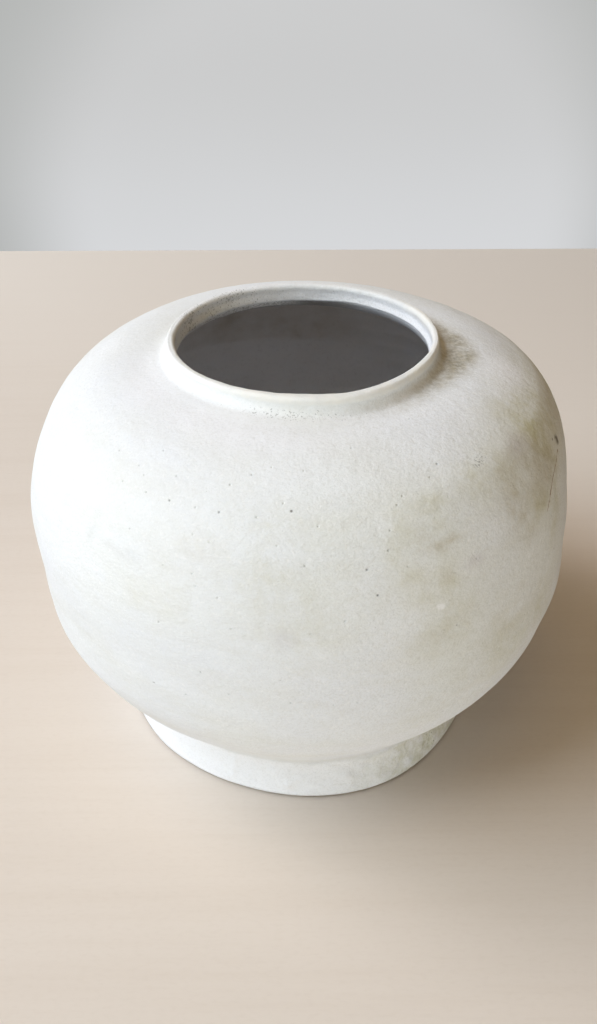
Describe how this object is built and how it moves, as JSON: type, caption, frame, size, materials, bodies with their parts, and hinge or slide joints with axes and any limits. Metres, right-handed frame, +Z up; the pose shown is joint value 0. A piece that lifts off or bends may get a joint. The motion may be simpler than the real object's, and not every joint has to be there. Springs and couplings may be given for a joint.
{
  "type": "moon jar",
  "caption": "Large round white-slipped stoneware jar with a short collared mouth, joined at the waist and standing on a foot ring.",
  "frame": {"origin": "centre of the foot's resting circle, on the surface the jar stands on", "axes": "+Z up along the throwing axis; the jar is a body of revolution, so +X is free"},
  "size_m": [0.2404, 0.2404, 0.1877],
  "materials": {
    "stoneware": "matte",
    "luting_slip": "matte",
    "white_slip": "matte",
    "inner_glaze": "satin"
  },
  "bodies": {
    "root": {"lower_bowl": "stoneware", "upper_bowl": "stoneware", "waist_luting_slip": "luting_slip", "neck_collar": "stoneware", "neck_luting_slip": "luting_slip", "foot_ring": "stoneware", "foot_luting_slip": "luting_slip", "outer_slip_coat": "white_slip", "inner_glaze_coat": "inner_glaze"}
  },
  "joints": []
}
